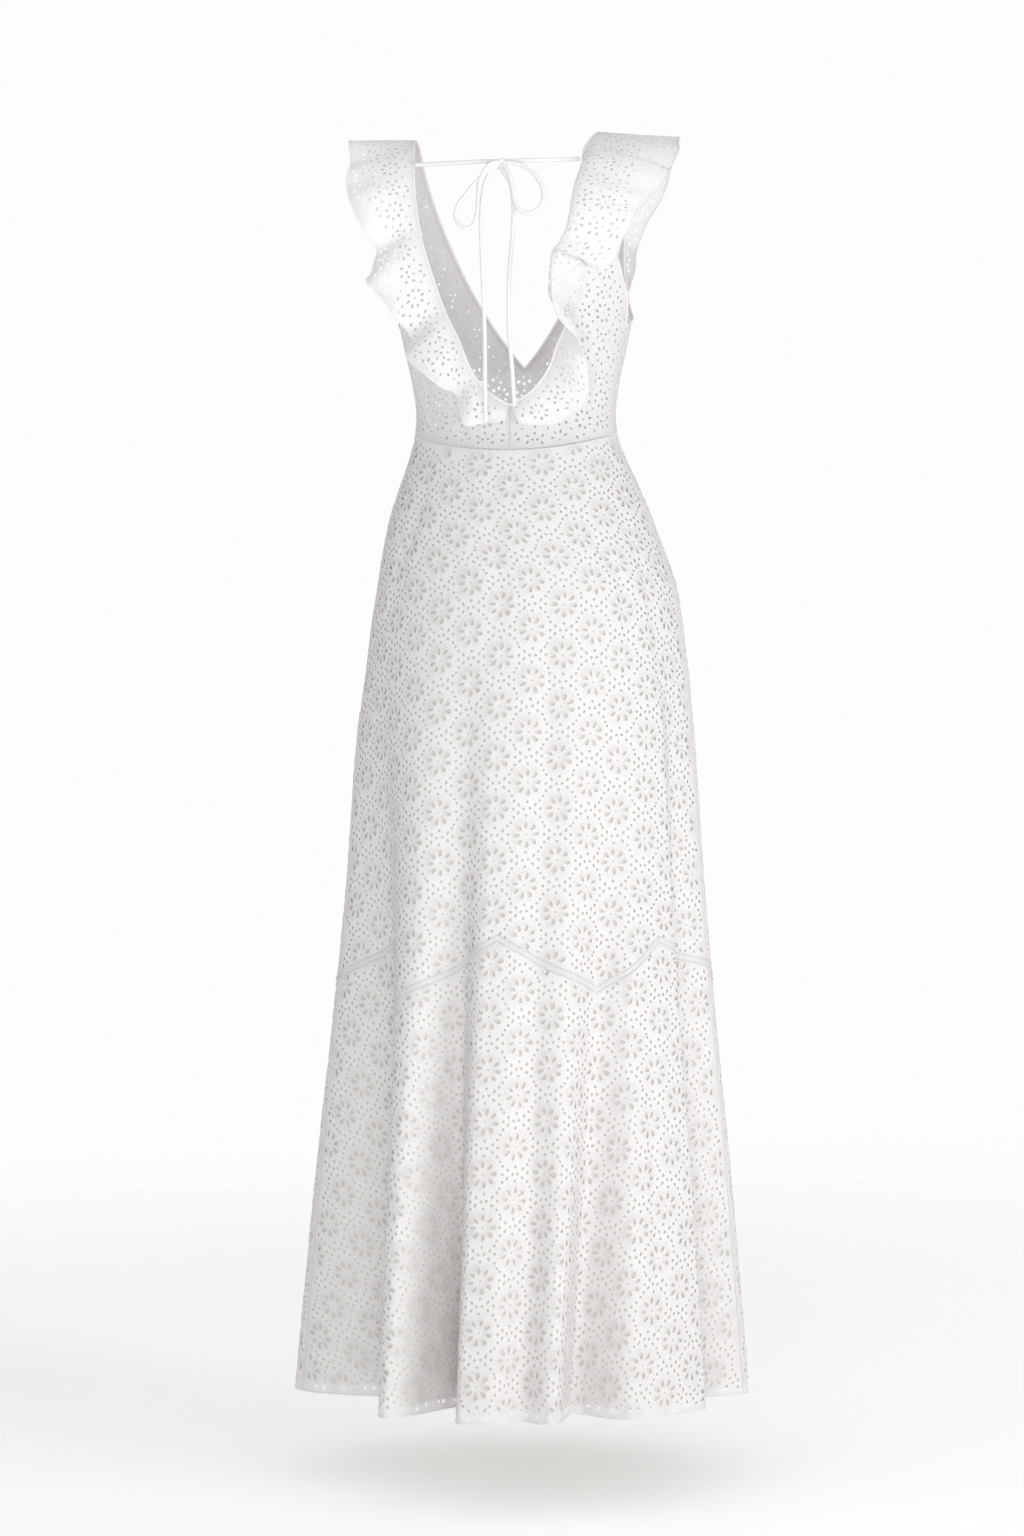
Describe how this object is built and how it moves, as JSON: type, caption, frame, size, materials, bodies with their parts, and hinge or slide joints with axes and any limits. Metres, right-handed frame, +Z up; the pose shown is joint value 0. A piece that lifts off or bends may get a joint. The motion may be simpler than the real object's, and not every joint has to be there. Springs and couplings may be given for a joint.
{
  "type": "maxi dress",
  "caption": "Long sleeveless dress in eyelet cotton with a deep V back, ruffled neckline, cord bow, fitted waist and a flared skirt with a chevron seam over a lining.",
  "frame": {"origin": "midway between the two shoulder seams, at the level of their neck ends", "axes": "+Z up along the body, -Y out of the back with the deep V and the bow, +X to the right seen from behind"},
  "size_m": [0.4929, 0.4584, 1.361],
  "materials": {
    "eyelet_cotton": "matte embroidered eyelet",
    "lining_cotton": "matte plain weave",
    "binding_cotton": "matte bias binding",
    "cord_cotton": "matte turned tube"
  },
  "bodies": {
    "root": {"bodice_back_left": "eyelet_cotton", "bodice_back_right": "eyelet_cotton", "bodice_front": "eyelet_cotton", "ruffle_left": "eyelet_cotton", "ruffle_right": "eyelet_cotton", "skirt_upper_back": "eyelet_cotton", "skirt_upper_front": "eyelet_cotton", "skirt_lower_back": "eyelet_cotton", "skirt_lower_front": "eyelet_cotton", "skirt_lining_back": "lining_cotton", "skirt_lining_front": "lining_cotton", "neck_binding_left": "binding_cotton", "neck_binding_right": "binding_cotton", "tie_left": "cord_cotton", "tie_right": "cord_cotton", "bow_loop_left": "cord_cotton", "bow_loop_right": "cord_cotton", "tail_left": "cord_cotton", "tail_right": "cord_cotton", "bow_knot": "cord_cotton"}
  },
  "joints": []
}
